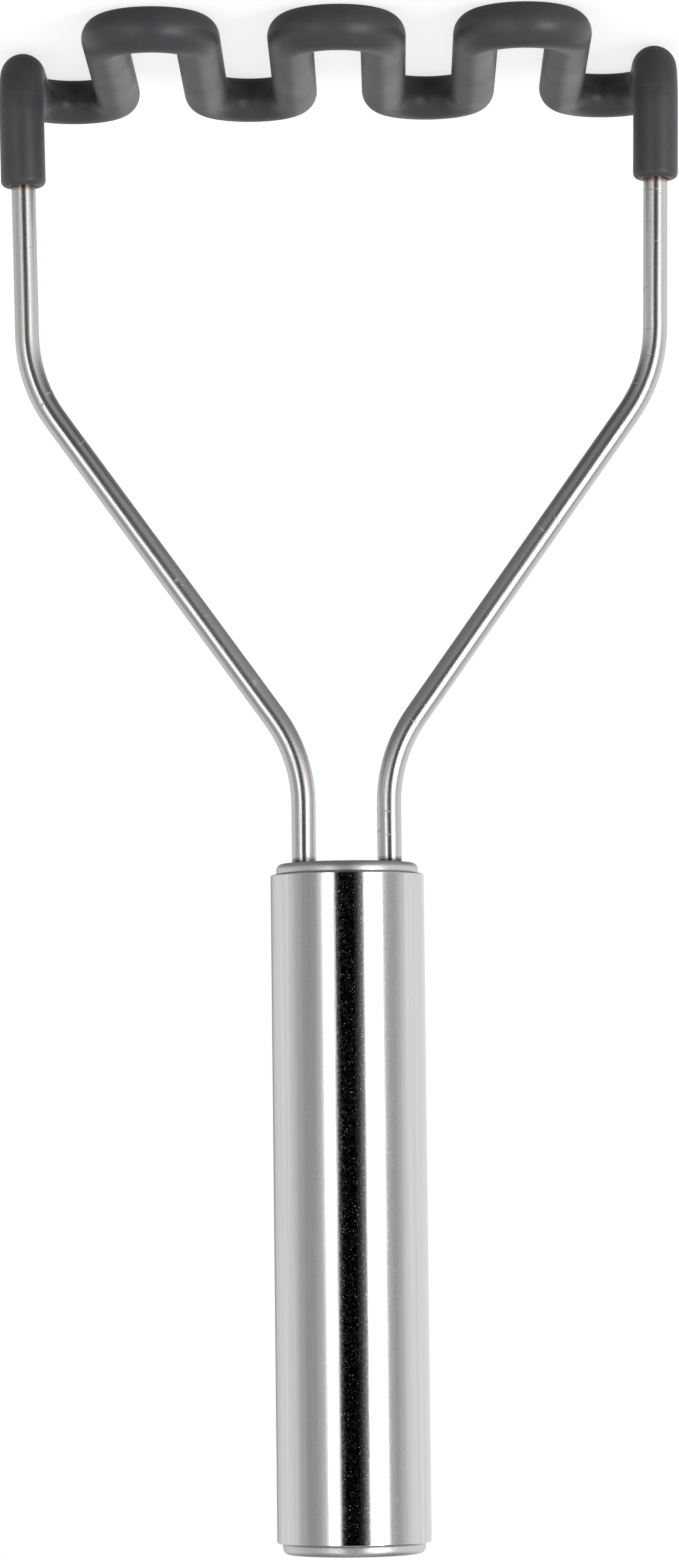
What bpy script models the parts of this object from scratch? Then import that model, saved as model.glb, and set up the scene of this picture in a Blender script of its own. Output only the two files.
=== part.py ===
"""Wave potato masher: one bent steel wire with a silicone-covered zigzag head, in a tubular steel handle.

It stands on its mashing face, with the handle up. +Z runs along the handle, X is the head's width and
Y its depth, with the front at -Y and the left at -X. The origin is on the resting plane, under the
handle's axis. Sizes are in metres.
"""

import math

import bmesh
import bpy
from mathutils import Vector

# Wire and its silicone cover.
WIRE_RADIUS = 0.0020
SLEEVE_RADIUS = 0.00375
FIT_GAP = 0.0003
SLEEVE_WALL = SLEEVE_RADIUS - WIRE_RADIUS - FIT_GAP
SLEEVE_END_Z = 0.0238
SLEEVE_LIP = 0.0005

# Zigzag head: six runs across it, a pitch apart, joined by half-round loops.
RUNS = 6
PITCH = 0.0152
LOOP_RADIUS = PITCH / 2
HALF_DEPTH = 0.0310
HEAD_Z = SLEEVE_RADIUS
LEG_X = (RUNS + 1) / 2 * PITCH

# Legs, from the head to the handle. Both bends are made round one former.
SHOULDER_X, SHOULDER_Z = 0.0523, 0.0568
NECK_X, NECK_BEND_Z = 0.0071, 0.1199
LEG_BEND_RADIUS = 0.025

# Handle: a thin tube with a drawn cup pressed into each end.
TUBE_RADIUS = 0.0127
TUBE_WALL = 0.0007
TUBE_START_Z, TUBE_END_Z = 0.1397, 0.2497
TUBE_EDGE = 0.0003
CUP_RADIUS = 0.01175
CUP_WALL = 0.0008
CUP_LENGTH = 0.0090
CUP_PROUD = 0.0018
CUP_EDGE = 0.0007
WIRE_HOLE_RADIUS = WIRE_RADIUS + FIT_GAP

# Inside the handle: the plate that the wire's ends are welded to.
PLATE_RADIUS = TUBE_RADIUS - TUBE_WALL - FIT_GAP
PLATE_THICKNESS = 0.0020
PLATE_Z = TUBE_START_Z + 0.0280
WIRE_END_Z = PLATE_Z + PLATE_THICKNESS + 0.0030
BEAD_RADIUS = 0.0036
BEAD_HEIGHT = 0.0012

# How finely round shapes are cut, and how close two of their points may come before they are one.
BEND_STEP = math.radians(22.5)
TURNED_STEPS = 48
HOLE_STEPS = 20
WIRE_BEVEL_STEPS = 4
SLEEVE_BEVEL_STEPS = 6
MERGE_DISTANCE = 0.00001


def clear_scene():
    for old in list(bpy.data.objects):
        bpy.data.objects.remove(old)


def material(name, colour, roughness, metallic):
    made = bpy.data.materials.new(name)
    made.use_nodes = True
    shader = made.node_tree.nodes["Principled BSDF"]
    shader.inputs["Base Color"].default_value = (*colour, 1.0)
    shader.inputs["Roughness"].default_value = roughness
    shader.inputs["Metallic"].default_value = metallic
    return made


def place(name, data, finish, parent, location=(0, 0, 0), rotation=(0, 0, 0)):
    """Links a mesh or curve as one named object, under the masher's empty."""
    made = bpy.data.objects.new(name, data)
    bpy.context.scene.collection.objects.link(made)
    data.materials.append(finish)
    made.parent = parent
    made.location = location
    made.rotation_euler = rotation
    return made


def rounded(corners):
    """Points of a path through (x, y, z, bend radius) corners, with each bend as an arc."""
    spots = [Vector(corner[:3]) for corner in corners]
    path = [spots[0]]
    for before, corner, after, radius in zip(spots, spots[1:], spots[2:], [c[3] for c in corners[1:]]):
        if radius == 0:
            path.append(corner)
            continue
        back, ahead = (before - corner).normalized(), (after - corner).normalized()
        turn = math.pi - back.angle(ahead)
        centre = corner + (back + ahead).normalized() * radius / math.cos(turn / 2)
        start = corner + back * radius * math.tan(turn / 2) - centre
        side = (-back - start.normalized() * -back.dot(start.normalized())).normalized() * radius
        steps = max(2, round(turn / BEND_STEP))
        for step in range(steps + 1):
            angle = turn * step / steps
            path.append(centre + start * math.cos(angle) + side * math.sin(angle))
    path.append(spots[-1])
    kept = [path[0]]
    for point in path[1:]:
        if (point - kept[-1]).length > MERGE_DISTANCE:
            kept.append(point)
    return kept


def leg_corners(side):
    """Corners of one leg, from its welded end in the handle down to where the silicone starts."""
    drop = (SHOULDER_Z - SLEEVE_END_Z) / (SHOULDER_Z - HEAD_Z)
    sleeve_x = SHOULDER_X + (LEG_X - SHOULDER_X) * drop
    return [
        (side * NECK_X, 0, WIRE_END_Z, 0),
        (side * NECK_X, 0, NECK_BEND_Z, LEG_BEND_RADIUS),
        (side * SHOULDER_X, 0, SHOULDER_Z, LEG_BEND_RADIUS),
        (side * sleeve_x, 0, SLEEVE_END_Z, 0),
    ]


def head_corners():
    """Corners of the zigzag, from the top of one leg's cover to the top of the other's."""
    corners = [
        leg_corners(-1)[-1],
        (-LEG_X, 0, HEAD_Z, LOOP_RADIUS),
        (-LEG_X, HALF_DEPTH, HEAD_Z, LOOP_RADIUS),
    ]
    for run in range(RUNS):
        x = (run - (RUNS - 1) / 2) * PITCH
        starts_at_back = run % 2 == 0
        first, last = (HALF_DEPTH, -HALF_DEPTH) if starts_at_back else (-HALF_DEPTH, HALF_DEPTH)
        corners += [(x, first, HEAD_Z, LOOP_RADIUS), (x, last, HEAD_Z, LOOP_RADIUS)]
    corners += [
        (LEG_X, HALF_DEPTH, HEAD_Z, LOOP_RADIUS),
        (LEG_X, 0, HEAD_Z, LOOP_RADIUS),
        leg_corners(1)[-1],
    ]
    return corners


def rod(name, path, radius, bevel_steps, capped):
    """A round rod or an open-ended tube along a path, as a curve with a round bevel."""
    curve = bpy.data.curves.new(name, "CURVE")
    curve.dimensions = "3D"
    curve.bevel_depth = radius
    curve.bevel_resolution = bevel_steps
    curve.use_fill_caps = capped
    spline = curve.splines.new("POLY")
    spline.points.add(len(path) - 1)
    for knot, point in zip(spline.points, path):
        knot.co = (*point, 1)
    return curve


def mashing_wire(steel, parent):
    """One continuous rod: both legs and the zigzag between them."""
    corners = leg_corners(-1)[:-1] + head_corners() + leg_corners(1)[-2::-1]
    path = rounded(corners)
    return place("mashing_wire", rod("mashing_wire", path, WIRE_RADIUS, WIRE_BEVEL_STEPS, True), steel, parent)


def silicone_sleeve(silicone, parent):
    """The cover moulded on the head: an open tube along the wire, given its wall and rounded lips."""
    curve = rod("sleeve_skin", rounded(head_corners()), SLEEVE_RADIUS, SLEEVE_BEVEL_STEPS, False)
    skin = bpy.data.objects.new("sleeve_skin", curve)
    bpy.context.scene.collection.objects.link(skin)
    mesh = bpy.data.meshes.new_from_object(skin)
    bpy.data.objects.remove(skin)
    bm = bmesh.new()
    bm.from_mesh(mesh)
    bmesh.ops.remove_doubles(bm, verts=bm.verts, dist=MERGE_DISTANCE)
    bm.to_mesh(mesh)
    bm.free()
    sleeve = place("silicone_sleeve", mesh, silicone, parent)
    wall = sleeve.modifiers.new("wall", "SOLIDIFY")
    wall.thickness = SLEEVE_WALL
    wall.offset = -1
    wall.use_even_offset = True
    lips = sleeve.modifiers.new("lips", "BEVEL")
    lips.width = SLEEVE_LIP
    lips.segments = 2
    lips.limit_method = "ANGLE"
    lips.angle_limit = math.radians(60)
    return sleeve


def turned(name, outline, steps=TURNED_STEPS):
    """A mesh turned about Z from (radius, z) points. An outline that leaves the axis is a closed ring."""
    bm = bmesh.new()
    points = [bm.verts.new((radius, 0, z)) for radius, z in outline]
    edges = [bm.edges.new(pair) for pair in zip(points, points[1:])]
    if outline[0][0] > 0:
        edges.append(bm.edges.new((points[-1], points[0])))
    bmesh.ops.spin(bm, geom=points + edges, cent=(0, 0, 0), axis=(0, 0, 1), angle=math.tau, steps=steps)
    bmesh.ops.remove_doubles(bm, verts=bm.verts, dist=MERGE_DISTANCE)
    bmesh.ops.recalc_face_normals(bm, faces=bm.faces)
    mesh = bpy.data.meshes.new(name)
    bm.to_mesh(mesh)
    bm.free()
    mesh.shade_smooth()
    mesh.set_sharp_from_angle(angle=math.radians(40))
    return mesh


def tube_outline():
    """Wall section of the handle's tube, from its own start, with the cut edges broken."""
    outer, inner, length = TUBE_RADIUS, TUBE_RADIUS - TUBE_WALL, TUBE_END_Z - TUBE_START_Z
    return [
        (inner, 0),
        (outer - TUBE_EDGE, 0),
        (outer, TUBE_EDGE),
        (outer, length - TUBE_EDGE),
        (outer - TUBE_EDGE, length),
        (inner, length),
    ]


def cup_outline():
    """Wall section of a drawn cup: its closed face at z 0, and its skirt reaching into the tube."""
    inner = CUP_RADIUS - CUP_WALL
    shell = [(0, 0, 0, 0), (CUP_RADIUS, 0, 0, CUP_EDGE), (CUP_RADIUS, 0, CUP_LENGTH, 0)]
    return [
        *[(point.x, point.z) for point in rounded(shell)],
        (inner, CUP_LENGTH),
        (inner, CUP_WALL),
        (0, CUP_WALL),
    ]


def pierce(target, parent):
    """Cuts the two holes that the wire's legs pass through."""
    for side in (-1, 1):
        bm = bmesh.new()
        bmesh.ops.create_cone(
            bm,
            cap_ends=True,
            segments=HOLE_STEPS,
            radius1=WIRE_HOLE_RADIUS,
            radius2=WIRE_HOLE_RADIUS,
            depth=4 * CUP_LENGTH,
        )
        mesh = bpy.data.meshes.new("wire_hole_cutter")
        bm.to_mesh(mesh)
        bm.free()
        cutter = bpy.data.objects.new("wire_hole_cutter", mesh)
        bpy.context.scene.collection.objects.link(cutter)
        cutter.parent = parent
        cutter.location = (side * NECK_X, 0, target.location.z)
        cutter.hide_render = True
        cutter.display_type = "WIRE"
        hole = target.modifiers.new("wire_hole", "BOOLEAN")
        hole.operation = "DIFFERENCE"
        hole.object = cutter
    return target


def handle(steel, parent):
    """The tube, its two cups and the plate inside it."""
    place("handle_tube", turned("handle_tube", tube_outline()), steel, parent, (0, 0, TUBE_START_Z))
    neck_face = TUBE_START_Z - CUP_PROUD
    pierce(place("neck_cap", turned("neck_cap", cup_outline()), steel, parent, (0, 0, neck_face)), parent)
    end_face = TUBE_END_Z + CUP_PROUD
    place("end_cap", turned("end_cap", cup_outline()), steel, parent, (0, 0, end_face), (math.pi, 0, 0))
    disc = [(0, 0), (PLATE_RADIUS, 0), (PLATE_RADIUS, PLATE_THICKNESS), (0, PLATE_THICKNESS)]
    pierce(place("anchor_plate", turned("anchor_plate", disc), steel, parent, (0, 0, PLATE_Z)), parent)


def weld_beads(weld, parent):
    """A ring of weld metal round each leg, inside the neck cap and behind the anchor plate."""
    inner, tip = WIRE_HOLE_RADIUS, WIRE_HOLE_RADIUS + (BEAD_RADIUS - WIRE_HOLE_RADIUS) / 3
    fillet = [(inner, 0), (BEAD_RADIUS, 0), (tip, BEAD_HEIGHT), (inner, BEAD_HEIGHT)]
    seats = {
        "neck": TUBE_START_Z - CUP_PROUD + CUP_WALL + FIT_GAP,
        "anchor": PLATE_Z + PLATE_THICKNESS + FIT_GAP,
    }
    for seat, z in seats.items():
        for hand, side in (("left", -1), ("right", 1)):
            name = f"{seat}_weld_{hand}"
            place(name, turned(name, fillet, HOLE_STEPS), weld, parent, (side * NECK_X, 0, z))


def main():
    clear_scene()
    masher = bpy.data.objects.new("potato_masher", None)
    bpy.context.scene.collection.objects.link(masher)
    wire_steel = material("bright_drawn_stainless_steel", (0.62, 0.61, 0.59), 0.22, 1.0)
    tube_steel = material("satin_stainless_steel", (0.66, 0.66, 0.65), 0.25, 1.0)
    weld_steel = material("weld_metal", (0.40, 0.37, 0.33), 0.45, 1.0)
    silicone = material("dark_grey_silicone", (0.055, 0.057, 0.061), 0.55, 0.0)
    mashing_wire(wire_steel, masher)
    silicone_sleeve(silicone, masher)
    handle(tube_steel, masher)
    weld_beads(weld_steel, masher)


main()
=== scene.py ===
"""Looks of the wave potato masher: bent stainless wire, moulded silicone head and tubular steel handle.

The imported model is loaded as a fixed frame, and every new piece takes its place from it. Sizes are in
metres, +Z runs up the handle and the front of the head is at -Y.
"""

import math

import bpy
from bpy.props import FloatProperty, FloatVectorProperty, PointerProperty
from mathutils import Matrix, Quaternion, Vector


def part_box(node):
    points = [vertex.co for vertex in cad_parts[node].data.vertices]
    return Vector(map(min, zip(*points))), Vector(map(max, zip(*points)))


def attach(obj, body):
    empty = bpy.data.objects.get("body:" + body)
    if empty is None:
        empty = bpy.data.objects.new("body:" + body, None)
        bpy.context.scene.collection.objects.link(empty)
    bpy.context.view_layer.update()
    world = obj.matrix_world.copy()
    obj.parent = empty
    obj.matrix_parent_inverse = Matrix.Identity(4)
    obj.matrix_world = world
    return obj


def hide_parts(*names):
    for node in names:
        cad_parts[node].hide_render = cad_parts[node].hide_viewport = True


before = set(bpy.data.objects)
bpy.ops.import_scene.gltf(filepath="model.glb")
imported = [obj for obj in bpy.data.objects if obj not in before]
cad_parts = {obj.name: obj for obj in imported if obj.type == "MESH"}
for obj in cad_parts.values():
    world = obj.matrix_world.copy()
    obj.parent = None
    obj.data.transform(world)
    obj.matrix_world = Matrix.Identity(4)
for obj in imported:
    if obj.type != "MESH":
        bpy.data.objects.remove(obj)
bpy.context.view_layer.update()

bl_info = {
    "name": "Wave potato masher",
    "version": (1, 0, 0),
    "blender": (4, 5, 0),
    "location": "3D View > Sidebar > Masher",
    "description": "Models and finishes a wave-head potato masher round its packed frame",
    "category": "Object",
}

MM = 0.001

# Places that the frame settles.
SLEEVE_TOP_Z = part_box("silicone_sleeve")[1].z
HEAD_HALF_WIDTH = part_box("silicone_sleeve")[1].x
HEAD_HALF_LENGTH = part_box("silicone_sleeve")[1].y
WIRE_END_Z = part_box("mashing_wire")[1].z
TUBE_START_Z, TUBE_END_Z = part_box("handle_tube")[0].z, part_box("handle_tube")[1].z
TUBE_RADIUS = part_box("handle_tube")[1].x
CUP_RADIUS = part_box("end_cap")[1].x
CUP_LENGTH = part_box("end_cap")[1].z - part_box("end_cap")[0].z
NECK_FACE_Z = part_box("neck_cap")[0].z
END_FACE_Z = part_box("end_cap")[1].z

# The zigzag's runs between the two outermost ones, and the height of the mould's parting line.
INNER_RUNS = 6
PARTING_LINE_Z = 8.4 * MM

# How finely round shapes are cut, and how near two places are that count as one.
WIRE_SIDES = 32
SLEEVE_SIDES = 48
TUBE_SIDES = 160
BEND_STEP = math.radians(4)
RING_SPACING = 0.8 * MM
SMOOTH_ANGLE = math.radians(35)
NEAR = 0.01 * MM

# What is picked in edit mode, as Blender lists it: points, edges, faces.
EDGES, FACES = (False, True, False), (False, False, True)

# The stage: its floor, how strongly that glows, the bright strips' radiance and the lamps' distance.
FLOOR_RADIUS = 0.6
FLOOR_GLOW = 0.85
STRIP = 2.8
LAMP_DISTANCE = 1.5


def linear(hex_colour):
    """An sRGB hex colour as linear red, green, blue and alpha."""
    channels = [int(hex_colour[i : i + 2], 16) / 255 for i in (1, 3, 5)]
    return (*[c / 12.92 if c <= 0.04045 else ((c + 0.055) / 1.055) ** 2.4 for c in channels], 1.0)


def length(name, default, description):
    """A length that a user may change."""
    return FloatProperty(
        name=name, default=default, description=description, unit="LENGTH", subtype="DISTANCE"
    )


def colour(name, hex_colour, description):
    """A colour that a user may change."""
    return FloatVectorProperty(
        name=name, default=linear(hex_colour), description=description, size=4, subtype="COLOR"
    )


class HeadSizes(bpy.types.PropertyGroup):
    """Sizes of the bent wire and its silicone."""

    wire_radius: length("Wire radius", 2.0 * MM, "Radius of the drawn rod")
    wire_edge: length("Wire edge", 0.3 * MM, "Rounding left by deburring the rod's ends")
    pitch: length("Pitch", 15.2 * MM, "Spacing of the zigzag's runs")
    shoulder_x: length("Shoulder X", 52.3 * MM, "Half the width between the legs at their shoulders")
    shoulder_z: length("Shoulder Z", 56.8 * MM, "Height of the legs' shoulders")
    neck_x: length("Neck X", 7.1 * MM, "Half the spacing of the legs where they enter the handle")
    neck_z: length("Neck Z", 119.9 * MM, "Height of the bend below the handle")
    leg_bend: length("Leg bend radius", 25.0 * MM, "Radius of the legs' two bends")
    lip: length("Lip radius", 1.0 * MM, "Rounding of the silicone's ends")
    bore_gap: length("Bore gap", 0.02 * MM, "Gap between the wire and the silicone round it")
    bore_edge: length("Bore edge", 0.15 * MM, "Rounding of the silicone's ends next to the wire")


class HandleSizes(bpy.types.PropertyGroup):
    """Sizes of the handle's tube and its pressed caps."""

    tube_wall: length("Tube wall", 0.7 * MM, "Wall of the tube")
    tube_edge: length("Tube edge", 0.3 * MM, "Rounding left by deburring the tube's ends")
    cup_wall: length("Cup wall", 0.8 * MM, "Wall of a pressed cap")
    cup_edge: length("Cup edge", 1.0 * MM, "Outer rounding of a pressed cap")
    bead_height: length("Bead height", 2.1 * MM, "Height of the bead round a cap's face")
    bead_step: length("Bead step", 0.35 * MM, "How far that bead stands out over the cap's skirt")
    bead_edge: length("Bead edge", 0.6 * MM, "Rounding of that bead towards the skirt")
    hole_radius: length("Wire hole radius", 2.3 * MM, "Radius of the holes that the legs pass through")


class Colours(bpy.types.PropertyGroup):
    """Colours of the masher's materials and of the floor."""

    silicone: colour("Silicone", "#4E5053", "Charcoal pigment of the silicone")
    wire: colour("Wire", "#CCCAC8", "Bright drawn stainless steel")
    tint: colour("Brown tint", "#7A4A36", "Primer where the silicone ends, and heat colour of the welds")
    # Painted shade: near black, laid on the legs just below the neck cap, where the holes' clearance lies
    # in shadow.
    painted_hole_shade: colour("Residue", "#1A1917", "Polishing compound caught at the neck cap")
    tube: colour("Tube", "#D3D3D3", "Polished stainless steel")
    weld: colour("Weld", "#8C8074", "Heat-coloured weld metal")
    floor: colour("Floor", "#BEBEBE", "Opal acrylic of the studio floor, unlit")
    glow: colour("Floor glow", "#F4F4F4", "Light that comes through the floor")


class StageSizes(bpy.types.PropertyGroup):
    """Where the camera stands and how it looks at the masher."""

    eye: FloatVectorProperty(
        name="Eye",
        default=(-7.8 * MM, -947.1 * MM, 190.4 * MM),
        description="Place of the camera",
        unit="LENGTH",
        subtype="XYZ",
    )
    tilt: FloatProperty(
        name="Tilt", default=math.radians(4.013), description="How far down it looks", subtype="ANGLE"
    )
    pan: FloatProperty(
        name="Pan", default=math.radians(0.537), description="How far towards +X it looks", subtype="ANGLE"
    )
    roll: FloatProperty(
        name="Roll",
        default=math.radians(179.36),
        description="Turn about the line of sight, which shows the masher head up",
        subtype="ANGLE",
    )
    lens: FloatProperty(name="Lens", default=131.95, description="Focal length in mm on a 36 mm sensor")


def start_edit(mode):
    """Starts edit mode with nothing selected, to pick edges or faces."""
    bpy.context.tool_settings.mesh_select_mode = mode
    bpy.ops.object.mode_set(mode="EDIT")
    bpy.ops.mesh.select_all(action="DESELECT")


def pick(piece, mode, test):
    """Selects the edges or faces whose corner points all pass a test, and stays in edit mode."""
    start_edit(mode)
    bpy.ops.object.mode_set(mode="OBJECT")
    mesh = piece.data
    found = False
    for item in mesh.edges if mode == EDGES else mesh.polygons:
        item.select = test([mesh.vertices[index].co for index in item.vertices])
        found = found or item.select
    if not found:
        raise RuntimeError(f"{piece.name}: nothing lies where it should be worked on")
    bpy.ops.object.mode_set(mode="EDIT")


def round_bar(name, sides, radius, low, high, x=0.0):
    """A closed cylinder along Z, alone in the selection, with its place in its mesh."""
    bpy.ops.object.select_all(action="DESELECT")
    bpy.ops.mesh.primitive_cylinder_add(
        vertices=sides,
        radius=radius,
        depth=high - low,
        end_fill_type="NGON",
        location=(x, 0, (low + high) / 2),
    )
    bpy.ops.object.transform_apply(location=True)
    bar = bpy.context.object
    bar.name = name
    bar.data.name = name
    return bar


def at_height(z):
    """A test for corners that all lie at one height."""
    return lambda corners: all(abs(corner.z - z) < NEAR for corner in corners)


def rim(z, radius):
    """A test for corners that all lie on one level circle round the Z axis."""
    return lambda corners: at_height(z)(corners) and all(
        abs(math.hypot(corner.x, corner.y) - radius) < 2 * NEAR for corner in corners
    )


def round_edges(piece, test, radius, segments):
    """Rounds the edges that pass a test."""
    pick(piece, EDGES, test)
    bpy.ops.mesh.bevel(
        offset=radius, offset_type="OFFSET", segments=segments, profile=0.5, affect="EDGES"
    )
    bpy.ops.object.mode_set(mode="OBJECT")


def bore_through(piece, low, high, wall):
    """Makes a bar into a pipe: both ends are inset by the wall and bridged."""
    pick(piece, FACES, lambda corners: at_height(low)(corners) or at_height(high)(corners))
    bpy.ops.mesh.inset(thickness=wall, use_individual=True)
    bpy.ops.mesh.bridge_edge_loops()
    bpy.ops.object.mode_set(mode="OBJECT")


def cut_rings(piece, span, spacing):
    """Divides the long edges of a bar or pipe into rings, in two rounds of equal cuts."""
    cuts = math.ceil(math.sqrt(span / spacing)) - 1
    for _ in range(2):
        pick(piece, EDGES, lambda corners: abs(corners[0].z - corners[1].z) > 0.5 * spacing)
        bpy.ops.mesh.subdivide(number_cuts=cuts)
        bpy.ops.object.mode_set(mode="OBJECT")


def rounded(corners):
    """Points of a path through (x, y, z, bend radius) corners, with each bend as an arc."""
    spots = [Vector(corner[:3]) for corner in corners]
    bend_radii = [corner[3] for corner in corners[1:]]
    path = [spots[0]]
    for before, corner, after, radius in zip(spots, spots[1:], spots[2:], bend_radii):
        back, ahead = (before - corner).normalized(), (after - corner).normalized()
        turn = math.pi - back.angle(ahead)
        centre = corner + (back + ahead).normalized() * radius / math.cos(turn / 2)
        start = corner + back * radius * math.tan(turn / 2) - centre
        side = (-back - start.normalized() * -back.dot(start.normalized())).normalized() * radius
        steps = max(2, round(turn / BEND_STEP))
        for step in range(steps + 1):
            angle = turn * step / steps
            path.append(centre + start * math.cos(angle) + side * math.sin(angle))
    path.append(spots[-1])
    kept = [path[0]]
    for point in path[1:]:
        if (point - kept[-1]).length > NEAR:
            kept.append(point)
    return kept


def outer_run_x(sizes):
    """Distance of the outermost runs from the middle of the head."""
    return (INNER_RUNS + 1) / 2 * sizes.pitch


def sleeve_radius(sizes):
    """Radius of the silicone, from the head's width and the place of its outermost runs."""
    return HEAD_HALF_WIDTH - outer_run_x(sizes)


def zigzag_corners(sizes):
    """Corners of the silicone-covered stretch, from the top of its left end to the top of its right."""
    radius = sleeve_radius(sizes)
    leg_x, back_y, bend = outer_run_x(sizes), HEAD_HALF_LENGTH - radius, sizes.pitch / 2
    drop = (sizes.shoulder_z - SLEEVE_TOP_Z) / (sizes.shoulder_z - radius)
    cover_x = sizes.shoulder_x + (leg_x - sizes.shoulder_x) * drop
    corners = [(-cover_x, 0, SLEEVE_TOP_Z, 0), (-leg_x, 0, radius, bend), (-leg_x, back_y, radius, bend)]
    for run in range(INNER_RUNS):
        x = (run - (INNER_RUNS - 1) / 2) * sizes.pitch
        first = back_y if run % 2 == 0 else -back_y
        corners += [(x, first, radius, bend), (x, -first, radius, bend)]
    corners += [(leg_x, back_y, radius, bend), (leg_x, 0, radius, bend), (cover_x, 0, SLEEVE_TOP_Z, 0)]
    return corners


def leg_corners(sizes, side):
    """Corners of one leg above its silicone, from the handle down, on side -1 or 1."""
    return [
        (side * sizes.neck_x, 0, WIRE_END_Z, 0),
        (side * sizes.neck_x, 0, sizes.neck_z, sizes.leg_bend),
        (side * sizes.shoulder_x, 0, sizes.shoulder_z, sizes.leg_bend),
    ]


def path_length(path):
    """Length along a path's points."""
    return sum((after - before).length for before, after in zip(path, path[1:]))


def bend_along(piece, path):
    """Bends a straight piece that stands on the origin along a path, and keeps its straight shape's
    coordinates as an attribute, so that the marks of drawing follow the bends."""
    straight = piece.data.attributes.new("straight", "FLOAT_VECTOR", "POINT")
    for mark, vertex in zip(straight.data, piece.data.vertices):
        mark.vector = vertex.co
    guide_line = bpy.data.curves.new("bending_guide", "CURVE")
    guide_line.dimensions = "3D"
    spline = guide_line.splines.new("POLY")
    spline.points.add(len(path) - 1)
    for knot, point in zip(spline.points, path):
        knot.co = (*point, 1)
    guide = bpy.data.objects.new("bending_guide", guide_line)
    bpy.context.scene.collection.objects.link(guide)
    bend = piece.modifiers.new("bend", "CURVE")
    bend.object = guide
    bend.deform_axis = "POS_Z"
    bpy.ops.object.modifier_apply(modifier="bend")
    bpy.data.objects.remove(guide)


def keep_long_faces_straight(piece):
    """Keeps the shading of long faces from leaning over beside their small rounded edges."""
    piece.modifiers.new("straight_shading", "WEIGHTED_NORMAL").keep_sharp = True
    bpy.ops.object.modifier_apply(modifier="straight_shading")


def finish_piece(piece, material, node):
    """Smooths a finished piece, gives it its material and lets it stand for its CAD node."""
    bpy.ops.object.select_all(action="DESELECT")
    piece.select_set(True)
    bpy.context.view_layer.objects.active = piece
    bpy.ops.object.shade_smooth_by_angle(angle=SMOOTH_ANGLE)
    keep_long_faces_straight(piece)
    piece.data.materials.clear()
    piece.data.materials.append(material)
    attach(piece, "root")
    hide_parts(node)


def add_node(tree, kind, inputs, **settings):
    """Adds a node, with its settings, and with each input a value or another node's output."""
    added = tree.nodes.new(kind)
    for name, value in settings.items():
        setattr(added, name, value)
    for name, value in inputs.items():
        if isinstance(value, bpy.types.NodeSocket):
            tree.links.new(value, added.inputs[name])
        else:
            added.inputs[name].default_value = value
    return added


def new_material(name):
    """A new material, its node tree and its shader."""
    material = bpy.data.materials.new(name)
    material.use_nodes = True
    return material, material.node_tree, material.node_tree.nodes["Principled BSDF"]


def moulded_silicone(colours):
    """Pigmented silicone, compression moulded in a spark-eroded steel mould: a dull satin skin with a
    fine even grain, a soft bloom at grazing angles, faint rubbed streaks along its runs and a fine raised
    line where the mould's halves met, with a painted highlight along it that makes the colour lighter."""
    material, tree, shader = new_material("moulded_silicone")
    place = add_node(tree, "ShaderNodeTexCoord", {}).outputs["Object"]
    clouding = add_node(
        tree, "ShaderNodeTexNoise", {"Vector": place, "Scale": 1 / (9 * MM), "Detail": 3.0}
    ).outputs["Fac"]
    # A spark-eroded grain is finer than this, which is about as fine as shows.
    grain = add_node(
        tree,
        "ShaderNodeTexNoise",
        {"Vector": place, "Scale": 1 / (0.22 * MM), "Detail": 4.0, "Roughness": 0.65},
    ).outputs["Fac"]
    along_runs = add_node(
        tree, "ShaderNodeMapping", {"Vector": place, "Scale": (1.0, 0.15, 1.0)}
    ).outputs["Vector"]
    rubbed = add_node(
        tree, "ShaderNodeTexNoise", {"Vector": along_runs, "Scale": 1 / (0.9 * MM), "Detail": 3.0}
    ).outputs["Fac"]
    tone = add_node(
        tree,
        "ShaderNodeMapRange",
        {"Value": rubbed, "From Min": 0.3, "From Max": 0.7, "To Min": 0.93, "To Max": 1.07},
    ).outputs["Result"]
    rough = add_node(
        tree,
        "ShaderNodeMapRange",
        {"Value": clouding, "From Min": 0.3, "From Max": 0.7, "To Min": 0.33, "To Max": 0.43},
    ).outputs["Result"]
    height = add_node(tree, "ShaderNodeSeparateXYZ", {"Vector": place}).outputs["Z"]
    from_line = add_node(
        tree, "ShaderNodeMath", {0: height, 1: PARTING_LINE_Z}, operation="SUBTRACT"
    ).outputs["Value"]
    distance = add_node(tree, "ShaderNodeMath", {0: from_line}, operation="ABSOLUTE").outputs["Value"]
    # The parting line's mask raises the relief there. It also makes the colour up to 35% lighter, a
    # painted highlight standing in for the light that the raised line catches.
    parting_ridge_and_highlight = add_node(
        tree,
        "ShaderNodeMapRange",
        {"Value": distance, "From Min": 0.0, "From Max": 0.16 * MM, "To Min": 0.35, "To Max": 0.0},
        interpolation_type="SMOOTHSTEP",
    ).outputs["Result"]
    # The random tone plus the painted highlight along the parting line.
    brightness = add_node(
        tree, "ShaderNodeMath", {0: tone, 1: parting_ridge_and_highlight}, operation="ADD"
    ).outputs["Value"]
    base = add_node(
        tree, "ShaderNodeHueSaturation", {"Color": colours.silicone, "Value": brightness}
    ).outputs["Color"]
    relief = add_node(tree, "ShaderNodeMath", {0: grain, 1: parting_ridge_and_highlight}, operation="ADD").outputs["Value"]
    bump = add_node(
        tree, "ShaderNodeBump", {"Strength": 0.5, "Distance": 0.06 * MM, "Height": relief}
    ).outputs["Normal"]
    tree.links.new(base, shader.inputs["Base Color"])
    tree.links.new(rough, shader.inputs["Roughness"])
    tree.links.new(bump, shader.inputs["Normal"])
    shader.inputs["IOR"].default_value = 1.43
    shader.inputs["Sheen Weight"].default_value = 0.04
    shader.inputs["Sheen Roughness"].default_value = 0.45
    return material


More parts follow.
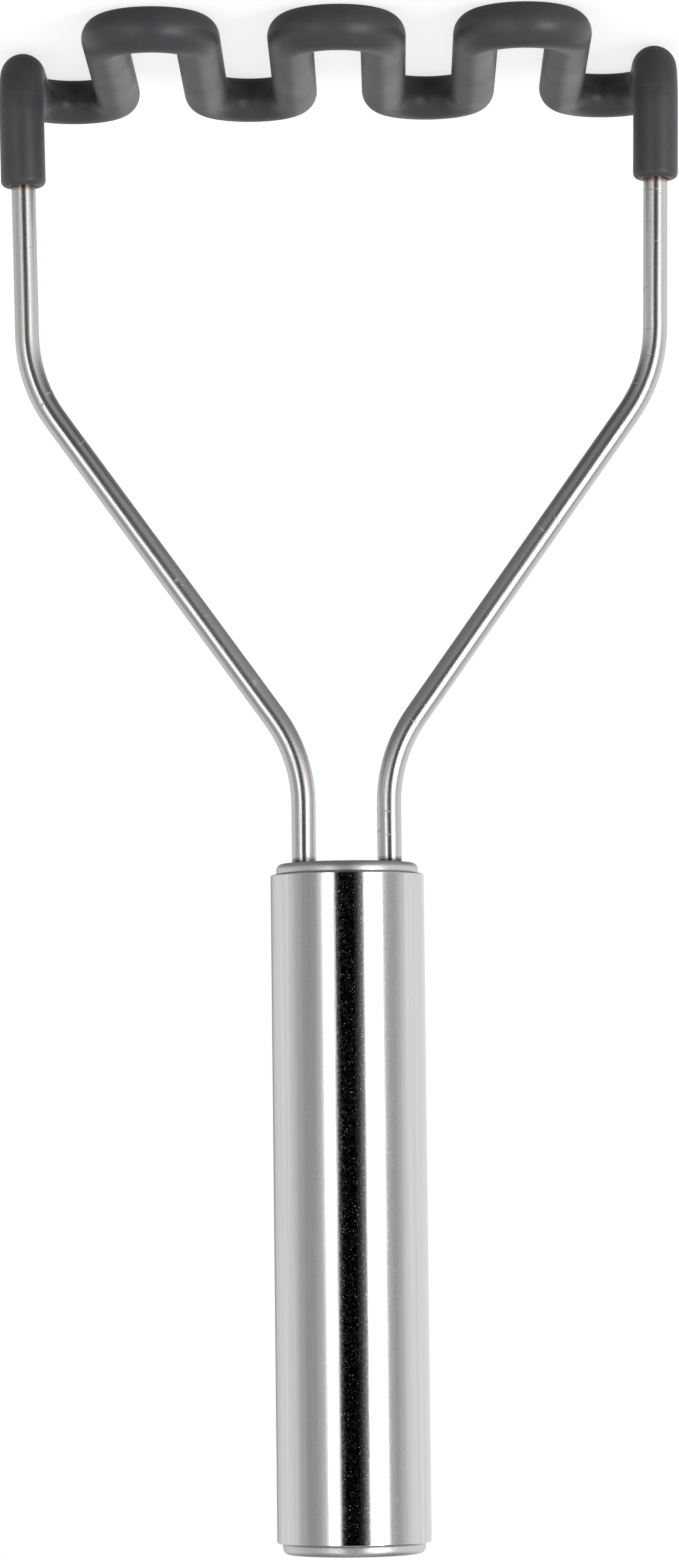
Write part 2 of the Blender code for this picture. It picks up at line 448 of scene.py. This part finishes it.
def drawn_stainless_wire(colours):
    """Stainless rod, cold drawn and bright annealed: a mirror broken up along its length by fine die
    lines, with small ticks across it from the bending tools, primer where the silicone ends and near-black
    painted shade laid here and there where the legs enter the cap's holes."""
    material, tree, shader = new_material("drawn_stainless_wire")
    straight = add_node(tree, "ShaderNodeAttribute", {}, attribute_name="straight").outputs["Vector"]
    along = add_node(
        tree, "ShaderNodeMapping", {"Vector": straight, "Scale": (1.0, 1.0, 0.02)}
    ).outputs["Vector"]
    across = add_node(
        tree, "ShaderNodeMapping", {"Vector": straight, "Scale": (0.25, 0.25, 1.0)}
    ).outputs["Vector"]
    # Real die lines are hundredths of a millimetre apart, and are drawn coarser so that they show.
    die_lines = add_node(
        tree, "ShaderNodeTexNoise", {"Vector": along, "Scale": 1 / (0.25 * MM), "Detail": 3.0}
    ).outputs["Fac"]
    smears = add_node(
        tree, "ShaderNodeTexNoise", {"Vector": along, "Scale": 1 / (1.2 * MM), "Detail": 2.0}
    ).outputs["Fac"]
    tick_noise = add_node(
        tree,
        "ShaderNodeTexNoise",
        {"Vector": across, "Scale": 1 / (1.1 * MM), "Detail": 2.0, "Roughness": 0.7},
    ).outputs["Fac"]
    ticks = add_node(
        tree,
        "ShaderNodeMapRange",
        {"Value": tick_noise, "From Min": 0.66, "From Max": 0.74, "To Min": 0.0, "To Max": 1.0},
    ).outputs["Result"]
    polish = add_node(
        tree,
        "ShaderNodeMapRange",
        {"Value": smears, "From Min": 0.3, "From Max": 0.7, "To Min": 0.22, "To Max": 0.31},
    ).outputs["Result"]
    rough = add_node(
        tree, "ShaderNodeMath", {0: ticks, 1: 0.3, 2: polish}, operation="MULTIPLY_ADD"
    ).outputs["Value"]
    place = add_node(tree, "ShaderNodeTexCoord", {}).outputs["Object"]
    height = add_node(tree, "ShaderNodeSeparateXYZ", {"Vector": place}).outputs["Z"]
    primer = add_node(
        tree,
        "ShaderNodeMapRange",
        {
            "Value": height,
            "From Min": SLEEVE_TOP_Z + 0.2 * MM,
            "From Max": SLEEVE_TOP_Z + 1.0 * MM,
            "To Min": 0.8,
            "To Max": 0.0,
        },
        interpolation_type="SMOOTHSTEP",
    ).outputs["Result"]
    primed = add_node(
        tree, "ShaderNodeMix", {"Factor": primer, 6: colours.wire, 7: colours.tint}, data_type="RGBA"
    ).outputs[2]
    # Painted shade: near-black patches on the legs just below the neck cap, standing in for the shadow in
    # the holes' clearance.
    below_cap = add_node(
        tree,
        "ShaderNodeMapRange",
        {
            "Value": height,
            "From Min": NECK_FACE_Z - 1.2 * MM,
            "From Max": NECK_FACE_Z - 0.5 * MM,
            "To Min": 0.0,
            "To Max": 1.0,
        },
    ).outputs["Result"]
    patches = add_node(
        tree, "ShaderNodeTexNoise", {"Vector": place, "Scale": 1 / (2.5 * MM), "Detail": 2.0}
    ).outputs["Fac"]
    # How much painted shade each patch gets.
    caught = add_node(
        tree,
        "ShaderNodeMapRange",
        {"Value": patches, "From Min": 0.42, "From Max": 0.56, "To Min": 0.0, "To Max": 0.9},
    ).outputs["Result"]
    painted_hole_shade = add_node(
        tree, "ShaderNodeMath", {0: below_cap, 1: caught}, operation="MULTIPLY"
    ).outputs["Value"]
    # Lays the painted shade over the wire's colour.
    base = add_node(
        tree, "ShaderNodeMix", {"Factor": painted_hole_shade, 6: primed, 7: colours.painted_hole_shade}, data_type="RGBA"
    ).outputs[2]
    relief = add_node(
        tree, "ShaderNodeMath", {0: ticks, 1: -0.5, 2: die_lines}, operation="MULTIPLY_ADD"
    ).outputs["Value"]
    bump = add_node(
        tree, "ShaderNodeBump", {"Strength": 0.5, "Distance": 0.04 * MM, "Height": relief}
    ).outputs["Normal"]
    tree.links.new(base, shader.inputs["Base Color"])
    tree.links.new(rough, shader.inputs["Roughness"])
    tree.links.new(bump, shader.inputs["Normal"])
    shader.inputs["Metallic"].default_value = 1.0
    return material


def polished_tube_steel(colours):
    """Welded stainless tube, ground and polished lengthwise: a near mirror with fine lighter and darker
    lines along it, a faint grain that frays its reflections and sparse pin-point pits left dull."""
    material, tree, shader = new_material("polished_tube_steel")
    place = add_node(tree, "ShaderNodeTexCoord", {}).outputs["Object"]
    lengthwise = add_node(
        tree, "ShaderNodeMapping", {"Vector": place, "Scale": (1.0, 1.0, 0.1)}
    ).outputs["Vector"]
    # The grit's own scratches and pits are finer than these, which are about as fine as shows.
    grain = add_node(
        tree, "ShaderNodeTexNoise", {"Vector": lengthwise, "Scale": 1 / (0.4 * MM), "Detail": 2.0}
    ).outputs["Fac"]
    haze = add_node(
        tree,
        "ShaderNodeTexNoise",
        {"Vector": place, "Scale": 1 / (0.5 * MM), "Detail": 3.0, "Roughness": 0.7},
    ).outputs["Fac"]
    pin_points = add_node(
        tree, "ShaderNodeTexNoise", {"Vector": place, "Scale": 1 / (0.2 * MM), "Detail": 1.0}
    ).outputs["Fac"]
    pits = add_node(
        tree,
        "ShaderNodeMapRange",
        {"Value": pin_points, "From Min": 0.67, "From Max": 0.77, "To Min": 0.0, "To Max": 0.3},
    ).outputs["Result"]
    polish = add_node(
        tree,
        "ShaderNodeMapRange",
        {"Value": haze, "From Min": 0.35, "From Max": 0.65, "To Min": 0.04, "To Max": 0.14},
    ).outputs["Result"]
    rough = add_node(tree, "ShaderNodeMath", {0: polish, 1: pits}, operation="ADD").outputs["Value"]
    bump = add_node(
        tree, "ShaderNodeBump", {"Strength": 0.5, "Distance": 0.007 * MM, "Height": grain}
    ).outputs["Normal"]
    polishing_lines = add_node(
        tree, "ShaderNodeMapping", {"Vector": place, "Scale": (1.0, 1.0, 0.01)}
    ).outputs["Vector"]
    streaks = add_node(
        tree, "ShaderNodeTexNoise", {"Vector": polishing_lines, "Scale": 1 / (0.9 * MM), "Detail": 3.0}
    ).outputs["Fac"]
    tone = add_node(
        tree,
        "ShaderNodeMapRange",
        {"Value": streaks, "From Min": 0.3, "From Max": 0.7, "To Min": 0.91, "To Max": 1.06},
    ).outputs["Result"]
    base = add_node(
        tree, "ShaderNodeHueSaturation", {"Color": colours.tube, "Value": tone}
    ).outputs["Color"]
    tree.links.new(base, shader.inputs["Base Color"])
    tree.links.new(rough, shader.inputs["Roughness"])
    tree.links.new(bump, shader.inputs["Normal"])
    shader.inputs["Metallic"].default_value = 1.0
    return material


def pressed_cap_steel(colours):
    """Stainless sheet drawn into a cup and tumbled: a soft satin that blurs what it mirrors, with a
    faint orange-peel waviness where the sheet was stretched over the punch's edge."""
    material, tree, shader = new_material("pressed_cap_steel")
    place = add_node(tree, "ShaderNodeTexCoord", {}).outputs["Object"]
    peel = add_node(
        tree, "ShaderNodeTexNoise", {"Vector": place, "Scale": 1 / (0.6 * MM), "Detail": 2.0}
    ).outputs["Fac"]
    rough = add_node(
        tree,
        "ShaderNodeMapRange",
        {"Value": peel, "From Min": 0.3, "From Max": 0.7, "To Min": 0.37, "To Max": 0.47},
    ).outputs["Result"]
    bump = add_node(
        tree, "ShaderNodeBump", {"Strength": 0.25, "Distance": 0.02 * MM, "Height": peel}
    ).outputs["Normal"]
    tree.links.new(rough, shader.inputs["Roughness"])
    tree.links.new(bump, shader.inputs["Normal"])
    shader.inputs["Base Color"].default_value = colours.tube
    shader.inputs["Metallic"].default_value = 1.0
    return material


def stamped_plate_steel(colours):
    """Hot-rolled strip, blanked to a disc and left as it came: grey, dull and slightly blotchy."""
    material, tree, shader = new_material("stamped_plate_steel")
    place = add_node(tree, "ShaderNodeTexCoord", {}).outputs["Object"]
    blotches = add_node(
        tree, "ShaderNodeTexNoise", {"Vector": place, "Scale": 1 / (3 * MM), "Detail": 5.0}
    ).outputs["Fac"]
    rough = add_node(
        tree,
        "ShaderNodeMapRange",
        {"Value": blotches, "From Min": 0.3, "From Max": 0.7, "To Min": 0.32, "To Max": 0.5},
    ).outputs["Result"]
    base = add_node(
        tree, "ShaderNodeHueSaturation", {"Color": colours.tube, "Value": 0.8}
    ).outputs["Color"]
    tree.links.new(base, shader.inputs["Base Color"])
    tree.links.new(rough, shader.inputs["Roughness"])
    shader.inputs["Metallic"].default_value = 1.0
    return material


def weld_metal(colours):
    """Bead of a gas-shielded weld, left unbrushed: rippled, with straw and brown heat colours."""
    material, tree, shader = new_material("weld_metal")
    place = add_node(tree, "ShaderNodeTexCoord", {}).outputs["Object"]
    heat = add_node(
        tree, "ShaderNodeTexNoise", {"Vector": place, "Scale": 1 / (1.5 * MM), "Detail": 3.0}
    ).outputs["Fac"]
    base = add_node(
        tree, "ShaderNodeMix", {"Factor": heat, 6: colours.weld, 7: colours.tint}, data_type="RGBA"
    ).outputs[2]
    bump = add_node(
        tree, "ShaderNodeBump", {"Strength": 0.4, "Distance": 0.04 * MM, "Height": heat}
    ).outputs["Normal"]
    tree.links.new(base, shader.inputs["Base Color"])
    tree.links.new(bump, shader.inputs["Normal"])
    shader.inputs["Roughness"].default_value = 0.38
    shader.inputs["Metallic"].default_value = 1.0
    return material


def studio_floor(colours):
    """Opal acrylic over a light table: pale and dull, lit from below so that shadows stay faint, and
    fading out well past the masher."""
    material, tree, shader = new_material("studio_floor")
    shader.inputs["Base Color"].default_value = colours.floor
    shader.inputs["Roughness"].default_value = 0.8
    shader.inputs["Emission Color"].default_value = colours.glow
    to_camera = add_node(tree, "ShaderNodeLightPath", {}).outputs["Is Camera Ray"]
    glow = add_node(
        tree, "ShaderNodeMath", {0: to_camera, 1: FLOOR_GLOW}, operation="MULTIPLY"
    ).outputs["Value"]
    tree.links.new(glow, shader.inputs["Emission Strength"])
    place = add_node(tree, "ShaderNodeTexCoord", {}).outputs["Object"]
    reach = add_node(tree, "ShaderNodeVectorMath", {0: place}, operation="LENGTH").outputs["Value"]
    fading = add_node(
        tree,
        "ShaderNodeMapRange",
        {
            "Value": reach,
            "From Min": FLOOR_RADIUS / 4,
            "From Max": FLOOR_RADIUS,
            "To Min": 1.0,
            "To Max": 0.0,
        },
        interpolation_type="SMOOTHSTEP",
    ).outputs["Result"]
    tree.links.new(fading, shader.inputs["Alpha"])
    return material


class MASHER_OT_bend_wire(bpy.types.Operator):
    """Draws a straight rod, rounds its ends and bends it into the legs and the zigzag"""

    bl_idname = "masher.bend_wire"
    bl_label = "Bend wire"

    def execute(self, context):
        sizes = context.scene.masher_head
        corners = leg_corners(sizes, -1) + zigzag_corners(sizes)[1:-1] + leg_corners(sizes, 1)[::-1]
        path = rounded(corners)
        span = path_length(path)
        wire = round_bar("mashing_wire_bent", WIRE_SIDES, sizes.wire_radius, 0, span)
        for end in (0, span):
            round_edges(wire, at_height(end), sizes.wire_edge, segments=3)
        cut_rings(wire, span, RING_SPACING)
        bend_along(wire, path)
        material = drawn_stainless_wire(context.scene.masher_colours)
        finish_piece(wire, material, "mashing_wire")
        return {"FINISHED"}


class MASHER_OT_mould_sleeve(bpy.types.Operator):
    """Makes the silicone as a straight thick hose with rounded lips, and bends it along the wire"""

    bl_idname = "masher.mould_sleeve"
    bl_label = "Mould sleeve"

    def execute(self, context):
        sizes = context.scene.masher_head
        path = rounded(zigzag_corners(sizes))
        span, radius = path_length(path), sleeve_radius(sizes)
        bore = sizes.wire_radius + sizes.bore_gap
        sleeve = round_bar("silicone_sleeve_moulded", SLEEVE_SIDES, radius, 0, span)
        bore_through(sleeve, 0, span, radius - bore)
        for end in (0, span):
            round_edges(sleeve, rim(end, radius), sizes.lip, segments=6)
            round_edges(sleeve, rim(end, bore), sizes.bore_edge, segments=2)
        cut_rings(sleeve, span, RING_SPACING)
        bend_along(sleeve, path)
        material = moulded_silicone(context.scene.masher_colours)
        finish_piece(sleeve, material, "silicone_sleeve")
        return {"FINISHED"}


class MASHER_OT_polish_tube(bpy.types.Operator):
    """Makes the handle's thin tube, with deburred ends"""

    bl_idname = "masher.polish_tube"
    bl_label = "Polish tube"

    def execute(self, context):
        sizes = context.scene.masher_handle
        tube = round_bar("handle_tube_polished", TUBE_SIDES, TUBE_RADIUS, TUBE_START_Z, TUBE_END_Z)
        bore_through(tube, TUBE_START_Z, TUBE_END_Z, sizes.tube_wall)
        for end in (TUBE_START_Z, TUBE_END_Z):
            round_edges(tube, at_height(end), sizes.tube_edge, segments=3)
        material = polished_tube_steel(context.scene.masher_colours)
        finish_piece(tube, material, "handle_tube")
        return {"FINISHED"}


def drawn_cup(name, sizes, face_z, mouth_z):
    """A cup with a closed face, a beaded rim and a narrower skirt, hollowed out from its mouth."""
    inward = 1 if mouth_z > face_z else -1
    cup = round_bar(name, TUBE_SIDES, CUP_RADIUS, min(face_z, mouth_z), max(face_z, mouth_z))
    bead_z = face_z + inward * sizes.bead_height
    start_edit(FACES)
    bpy.ops.mesh.select_all(action="SELECT")
    bpy.ops.mesh.bisect(plane_co=(0, 0, bead_z), plane_no=(0, 0, 1))
    bpy.ops.object.mode_set(mode="OBJECT")
    pick(cup, FACES, lambda corners: all((corner.z - bead_z) * inward > -NEAR for corner in corners))
    bpy.ops.mesh.extrude_region()
    narrowing = 1 - sizes.bead_step / CUP_RADIUS
    bpy.ops.transform.resize(value=(narrowing, narrowing, 1))
    bpy.ops.object.mode_set(mode="OBJECT")
    pick(cup, FACES, at_height(mouth_z))
    bpy.ops.mesh.inset(thickness=sizes.cup_wall)
    depth = (face_z - mouth_z) * (1 - sizes.cup_wall / CUP_LENGTH)
    bpy.ops.mesh.extrude_region_move(TRANSFORM_OT_translate={"value": (0, 0, depth)})
    bpy.ops.object.mode_set(mode="OBJECT")
    round_edges(cup, rim(face_z, CUP_RADIUS), sizes.cup_edge, segments=6)
    round_edges(cup, rim(bead_z, CUP_RADIUS), sizes.bead_edge, segments=5)
    return cup


class MASHER_OT_press_caps(bpy.types.Operator):
    """Draws the two cups that close the handle, and pierces the neck one for the legs"""

    bl_idname = "masher.press_caps"
    bl_label = "Press caps"

    def execute(self, context):
        sizes, head = context.scene.masher_handle, context.scene.masher_head
        material = pressed_cap_steel(context.scene.masher_colours)
        end_cap = drawn_cup("end_cap_pressed", sizes, END_FACE_Z, END_FACE_Z - CUP_LENGTH)
        finish_piece(end_cap, material, "end_cap")
        neck_cap = drawn_cup("neck_cap_pressed", sizes, NECK_FACE_Z, NECK_FACE_Z + CUP_LENGTH)
        low, high = NECK_FACE_Z - CUP_LENGTH / 2, NECK_FACE_Z + CUP_LENGTH / 2
        for x in (-head.neck_x, head.neck_x):
            punch = round_bar("wire_hole_punch", WIRE_SIDES, sizes.hole_radius, low, high, x)
            hole = neck_cap.modifiers.new("wire_hole", "BOOLEAN")
            hole.operation = "DIFFERENCE"
            hole.object = punch
            bpy.context.view_layer.objects.active = neck_cap
            bpy.ops.object.modifier_apply(modifier="wire_hole")
            bpy.data.objects.remove(punch)
        finish_piece(neck_cap, material, "neck_cap")
        return {"FINISHED"}


class MASHER_OT_finish_inside(bpy.types.Operator):
    """Gives the anchor plate and the weld beads inside the handle their materials"""

    bl_idname = "masher.finish_inside"
    bl_label = "Finish inside"

    def execute(self, context):
        colours = context.scene.masher_colours
        finishes = {"anchor_plate": stamped_plate_steel(colours)}
        bead = weld_metal(colours)
        for place in ("neck", "anchor"):
            for side in ("left", "right"):
                finishes[f"{place}_weld_{side}"] = bead
        for name, material in finishes.items():
            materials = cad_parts[name].data.materials
            materials.clear()
            materials.append(material)
        return {"FINISHED"}


class MASHER_OT_set_stage(bpy.types.Operator):
    """Lays a pale floor, hangs the soft lights and sets the camera"""

    bl_idname = "masher.set_stage"
    bl_label = "Set stage"

    def execute(self, context):
        stage, colours = context.scene.masher_stage, context.scene.masher_colours
        lay_floor(colours)
        hang_lights()
        light_room(context.scene)
        set_camera(context.scene, stage)
        return {"FINISHED"}


def lay_floor(colours):
    """A round floor that the masher stands on and that shiny surfaces don't mirror."""
    bpy.ops.object.select_all(action="DESELECT")
    bpy.ops.mesh.primitive_circle_add(vertices=96, radius=FLOOR_RADIUS, fill_type="NGON")
    floor = bpy.context.object
    floor.name = "studio_floor"
    floor.data.materials.append(studio_floor(colours))
    floor.visible_glossy = False


def hang_lights():
    """A softbox overhead, one behind that skims the head, and a small lamp in front, towards -X."""
    target = Vector((0, 0, 20 * MM))
    # Name, azimuth and elevation in degrees, width and height in metres, watts, tint.
    panels = [
        ("overhead_softbox", 0, 75, 1.2, 1.2, 0.9, "#FFFFFF"),
        ("back_softbox", 180, 24, 1.5, 0.5, 0.4, "#E8EEFF"),
        ("front_lamp", -39, 12, 0.22, 0.10, 3.2, "#FFFFFF"),
    ]
    for name, azimuth, elevation, width, height, power, tint in panels:
        a, e = math.radians(azimuth), math.radians(elevation)
        way = Vector((math.sin(a) * math.cos(e), -math.cos(a) * math.cos(e), math.sin(e)))
        lamp = bpy.data.lights.new(name, "AREA")
        lamp.shape = "RECTANGLE"
        lamp.size, lamp.size_y = width, height
        lamp.energy = power
        lamp.color = linear(tint)[:3]
        panel = bpy.data.objects.new(name, lamp)
        bpy.context.scene.collection.objects.link(panel)
        panel.location = target + way * LAMP_DISTANCE
        panel.rotation_euler = (-way).to_track_quat("-Z", "Y").to_euler()
        panel.visible_camera = False


def light_room(scene):
    """A white room with grey side walls, two bright strips and a black card round the camera, other
    walls below the table's height, a grey ceiling and a dark ground. Only light and reflections see it:
    the camera sees plain white."""
    world = bpy.data.worlds.new("studio_room")
    scene.world = world
    world.use_nodes = True
    tree = world.node_tree
    tree.nodes.clear()
    way = add_node(tree, "ShaderNodeTexCoord", {}).outputs["Generated"]
    parts = add_node(tree, "ShaderNodeSeparateXYZ", {"Vector": way}).outputs
    forward = add_node(
        tree, "ShaderNodeMath", {0: parts["Y"], 1: -1.0}, operation="MULTIPLY"
    ).outputs["Value"]
    azimuth = add_node(
        tree, "ShaderNodeMath", {0: parts["X"], 1: forward}, operation="ARCTAN2"
    ).outputs["Value"]
    turn = add_node(
        tree,
        "ShaderNodeMapRange",
        {"Value": azimuth, "From Min": -math.pi, "From Max": math.pi, "To Min": 0.0, "To Max": 1.0},
    ).outputs["Result"]
    # Degrees round the room, from straight in front of the masher towards +X, and the brightness there.
    wall_stops = [(-180, 0.75), (-157, 0.95), (-100, 1.0), (-89, 0.79), (-78, 0.55), (-68, 0.46)]
    wall_stops += [(-57, 0.70), (-50, STRIP), (-28, STRIP), (-23, 0.30), (-15, 0.04), (-9, 0.0)]
    wall_stops += [(12, 0.0), (17, 0.10), (24, STRIP), (33, STRIP), (40, 0.85), (50, 0.48), (59, 0.40)]
    wall_stops += [(68, 0.42), (78, 0.52), (89, 0.69), (101, 0.90), (131, 0.92), (150, 0.72)]
    wall_stops += [(162, 0.40), (180, 0.28)]
    low_stops = [(-180, 0.60), (-110, 1.0), (-95, 1.15), (-28, 1.15), (-20, 0.15), (10, 0.08), (18, 0.3)]
    low_stops += [(26, 0.75), (100, 0.72), (180, 0.60)]
    walls, low_walls = (add_node(tree, "ShaderNodeValToRGB", {"Fac": turn}) for _ in range(2))
    for ramp, stops in ((walls, wall_stops), (low_walls, low_stops)):
        elements = ramp.color_ramp.elements
        elements.remove(elements[-1])
        for degrees, level in stops:
            stop = elements.new((degrees + 180) / 360)
            stop.color = (level, level, level, 1.0)
        elements.remove(elements[0])
    room = walls.outputs["Color"]
    ground = add_node(
        tree,
        "ShaderNodeMix",
        {"Factor": 0.7, 6: low_walls.outputs["Color"], 7: (0.03, 0.03, 0.03, 1.0)},
        data_type="RGBA",
    ).outputs[2]
    # Where each layer starts and where it is whole, as the sine of its elevation, and its colour.
    layers = [
        (0.45, 0.70, (0.25, 0.25, 0.25, 1.0)),
        (-0.07, -0.17, low_walls.outputs["Color"]),
        (-0.20, -0.42, ground),
    ]
    for start, end, tone in layers:
        reach = add_node(
            tree,
            "ShaderNodeMapRange",
            {"Value": parts["Z"], "From Min": start, "From Max": end, "To Min": 0.0, "To Max": 1.0},
            interpolation_type="SMOOTHSTEP",
        ).outputs["Result"]
        room = add_node(
            tree, "ShaderNodeMix", {"Factor": reach, 6: room, 7: tone}, data_type="RGBA"
        ).outputs[2]
    lit = add_node(tree, "ShaderNodeBackground", {"Color": room}).outputs["Background"]
    seen = add_node(tree, "ShaderNodeBackground", {"Color": (1.0, 1.0, 1.0, 1.0)}).outputs["Background"]
    to_camera = add_node(tree, "ShaderNodeLightPath", {}).outputs["Is Camera Ray"]
    both = add_node(tree, "ShaderNodeMixShader", {0: to_camera, 1: lit, 2: seen}).outputs["Shader"]
    add_node(tree, "ShaderNodeOutputWorld", {"Surface": both})


def set_camera(scene, stage):
    """A long lens in front of the handle, turned over so that the masher shows head up."""
    lens = bpy.data.cameras.new("camera")
    camera = bpy.data.objects.new("camera", lens)
    scene.collection.objects.link(camera)
    scene.camera = camera
    camera.location = stage.eye
    level = math.cos(stage.tilt)
    sight = Vector((math.sin(stage.pan) * level, math.cos(stage.pan) * level, -math.sin(stage.tilt)))
    upright = sight.to_track_quat("-Z", "Y")
    camera.rotation_euler = (upright @ Quaternion((0, 0, 1), stage.roll)).to_euler()
    lens.sensor_width = 36.0
    lens.lens = stage.lens
    lens.clip_start, lens.clip_end = 0.01, 20.0
    scene.view_settings.view_transform = "Standard"


STEPS = (
    MASHER_OT_bend_wire,
    MASHER_OT_mould_sleeve,
    MASHER_OT_polish_tube,
    MASHER_OT_press_caps,
    MASHER_OT_finish_inside,
    MASHER_OT_set_stage,
)


class MASHER_PT_steps(bpy.types.Panel):
    """Lists the steps that make the masher"""

    bl_idname = "MASHER_PT_steps"
    bl_label = "Potato masher"
    bl_space_type = "VIEW_3D"
    bl_region_type = "UI"
    bl_category = "Masher"

    def draw(self, context):
        for step in STEPS:
            self.layout.operator(step.bl_idname)


GROUPS = {
    "masher_head": HeadSizes,
    "masher_handle": HandleSizes,
    "masher_colours": Colours,
    "masher_stage": StageSizes,
}


def register():
    for name, group in GROUPS.items():
        bpy.utils.register_class(group)
        setattr(bpy.types.Scene, name, PointerProperty(type=group))
    for step in (*STEPS, MASHER_PT_steps):
        bpy.utils.register_class(step)


def unregister():
    for step in (*STEPS, MASHER_PT_steps):
        bpy.utils.unregister_class(step)
    for name, group in GROUPS.items():
        delattr(bpy.types.Scene, name)
        bpy.utils.unregister_class(group)


def main():
    register()
    for step in STEPS:
        category, action = step.bl_idname.split(".")
        getattr(getattr(bpy.ops, category), action)()


if __name__ == "__main__":
    main()
